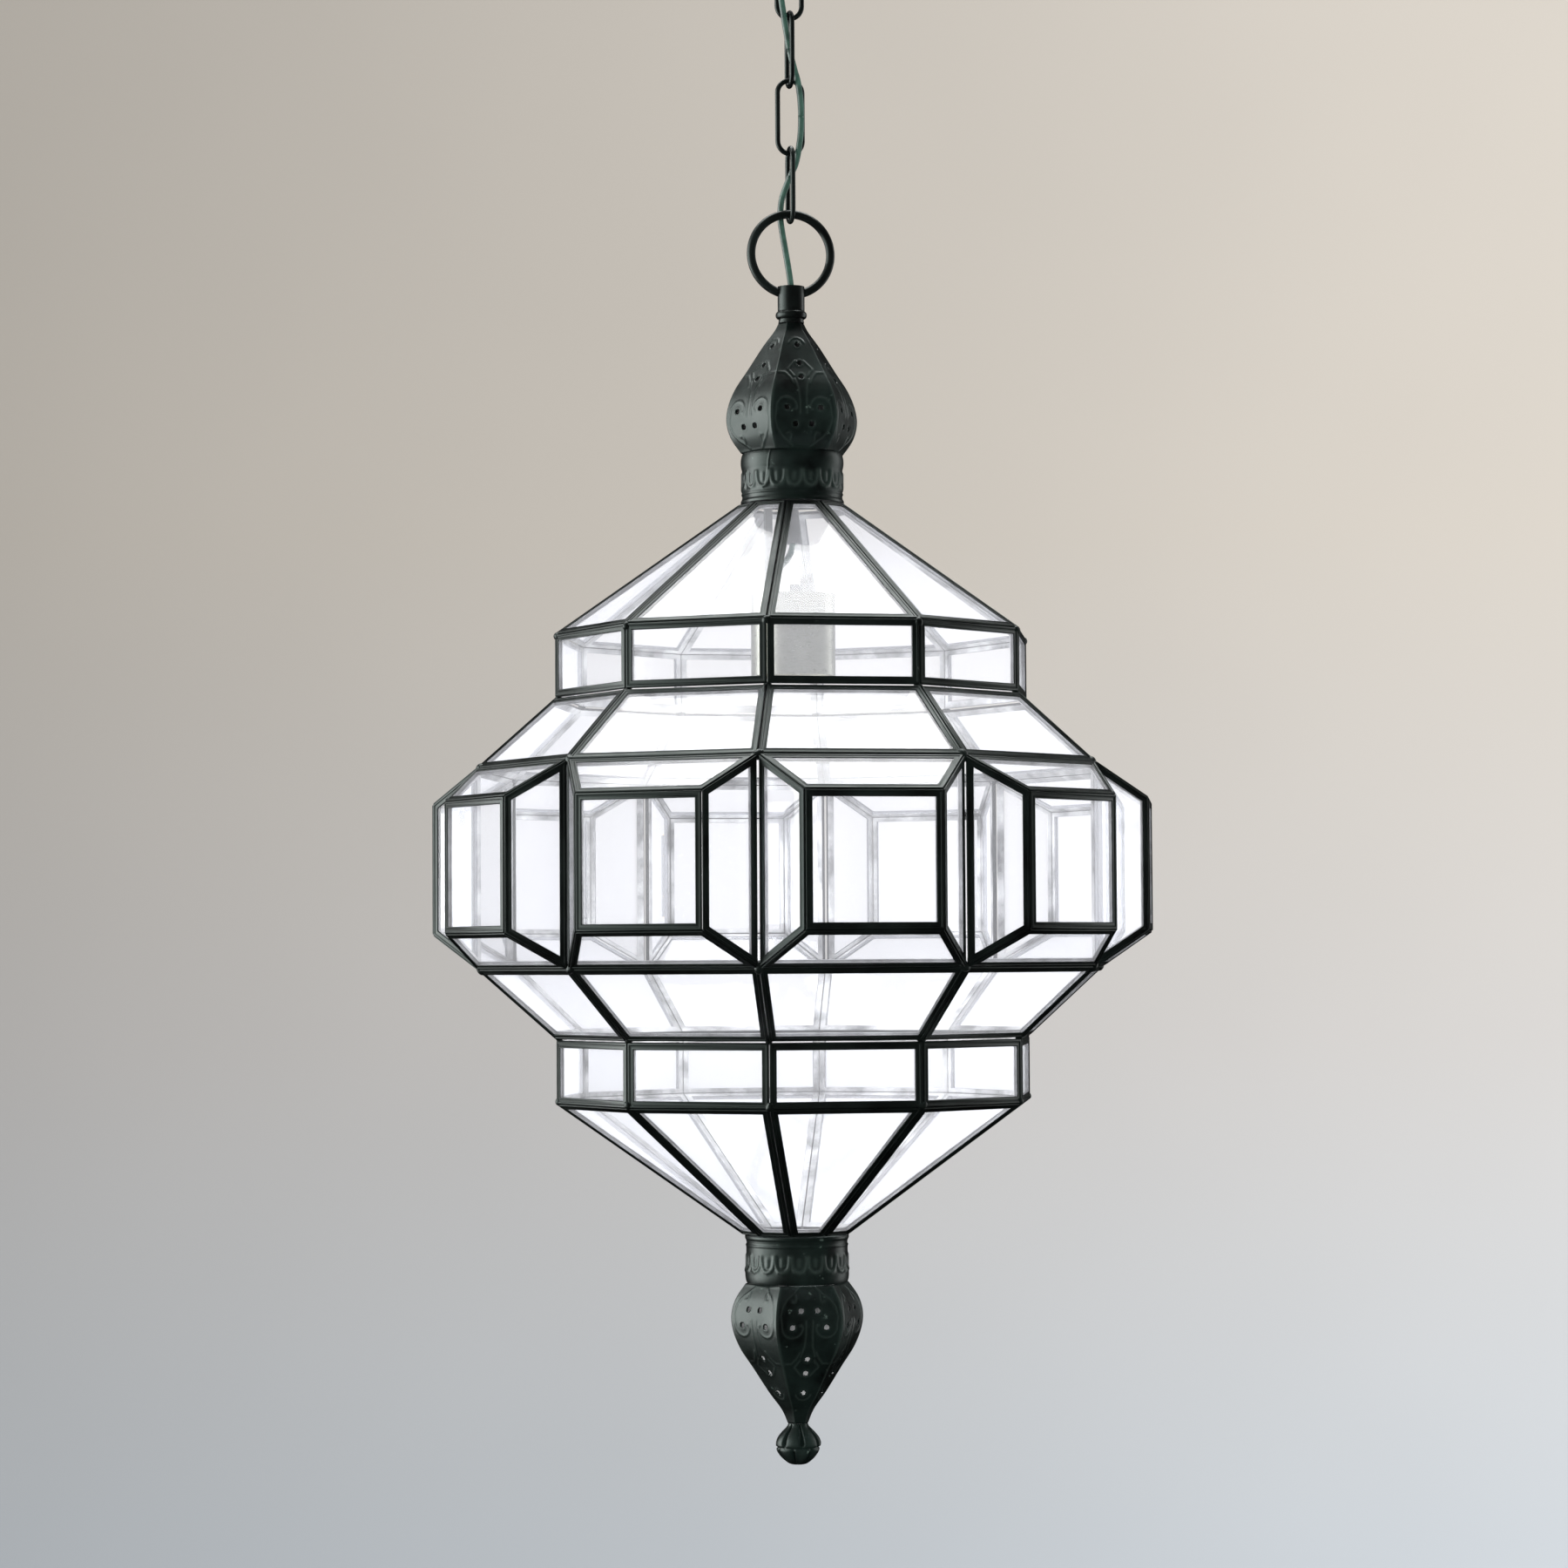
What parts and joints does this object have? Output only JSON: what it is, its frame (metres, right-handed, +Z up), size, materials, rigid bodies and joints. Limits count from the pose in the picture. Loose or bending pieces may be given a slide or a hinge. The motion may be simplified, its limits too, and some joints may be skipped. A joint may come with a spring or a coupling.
{
  "type": "hanging lantern",
  "caption": "Faceted glass lantern with projecting box panes, pierced domes and a finial, hung from a ceiling rose by a chain with a cable through its links.",
  "frame": {"origin": "middle of the ceiling bracket's top face, where it meets the ceiling", "axes": "+Z up along the lantern's axis, -Y towards the front box, +X to the right seen from the front"},
  "size_m": [0.3972, 0.3991, 0.8948],
  "materials": {
    "iron": "near-black patina over solder, satin",
    "green_iron": "near-black patina with a verdigris tint, satin",
    "glass": "clear sheet glass with a pale cast",
    "steel": "dull zinc",
    "nickel": "brushed nickel",
    "brass": "plain",
    "cable": "dark green sheath, satin",
    "ceramic": "glazed ceramic"
  },
  "bodies": {
    "ceiling": {"ceiling_bracket": "steel", "canopy_nipple": "steel", "ceiling_canopy": "iron", "canopy_loop": "iron", "cable_bush": "iron", "terminal_block": "ceramic", "cable_canopy": "cable"},
    "link_4": {"chain_link_4": "iron", "cable_link_4": "cable"},
    "link_3": {"chain_link_3": "iron", "cable_link_3": "cable"},
    "link_2": {"chain_link_2": "iron", "cable_link_2": "cable"},
    "link_1": {"chain_link_1": "iron"},
    "lantern": {"hanging_hoop": "iron", "stem_tube": "iron", "neck_ring": "iron", "top_dome": "green_iron", "top_collar": "green_iron", "centre_rod": "steel", "cross_bar": "steel", "rod_nut": "steel", "upper_roof_frame": "iron", "upper_roof_glass": "glass", "upper_drum_frame": "iron", "upper_drum_glass": "glass", "upper_shoulder_frame": "iron", "upper_shoulder_glass": "glass", "box_top_frame": "iron", "box_top_glass": "glass", "box_face_frame": "iron", "box_face_glass": "glass", "box_side_frame": "iron", "box_side_glass": "glass", "box_bottom_frame": "iron", "box_bottom_glass": "glass", "lower_shoulder_frame": "iron", "lower_shoulder_glass": "glass", "lower_drum_frame": "iron", "lower_drum_glass": "glass", "lower_cone_frame": "iron", "lower_cone_glass": "glass", "body_knuckles": "iron", "hinge_pin": "brass", "lamp_lead": "cable", "cord_grip": "steel", "lamp_strap": "steel", "holder_bolt": "steel", "holder_cover": "nickel", "holder_insulator": "ceramic", "thread_shell": "brass", "centre_contact": "brass", "bottom_collar": "green_iron", "bottom_dome": "green_iron", "finial_knob": "green_iron", "cable_stem": "cable"},
    "door": {"door_frame": "iron", "door_glass": "glass", "door_knuckle": "iron", "door_catch": "iron"}
  },
  "joints": [
    {"name": "rose_link_swing", "type": "hinge", "parent": "ceiling", "child": "link_4", "pos_m": [0, 0, -0.05], "axis": [1, 0, 0], "range_deg": [-20, 20], "deforming": ["cable_canopy"]},
    {"name": "upper_link_swing", "type": "hinge", "parent": "link_4", "child": "link_3", "pos_m": [0, 0, -0.0881], "axis": [0, 1, 0], "range_deg": [-20, 20], "deforming": ["cable_link_4"]},
    {"name": "middle_link_swing", "type": "hinge", "parent": "link_3", "child": "link_2", "pos_m": [0, 0, -0.1262], "axis": [1, 0, 0], "range_deg": [-20, 20], "deforming": ["cable_link_3"]},
    {"name": "lower_link_swing", "type": "hinge", "parent": "link_2", "child": "link_1", "pos_m": [0, 0, -0.1643], "axis": [0, 1, 0], "range_deg": [-20, 20], "deforming": ["cable_link_2"]},
    {"name": "hoop_turn", "type": "hinge", "parent": "link_1", "child": "lantern", "pos_m": [0, 0, -0.2014], "axis": [0, 0, 1], "range_deg": [-20, 20], "deforming": ["cable_stem"]},
    {"name": "door_hinge", "type": "hinge", "parent": "lantern", "child": "door", "pos_m": [-0.03758, 0.199, -0.56652], "axis": [0, 0, 1], "range_deg": [0, 120]}
  ]
}
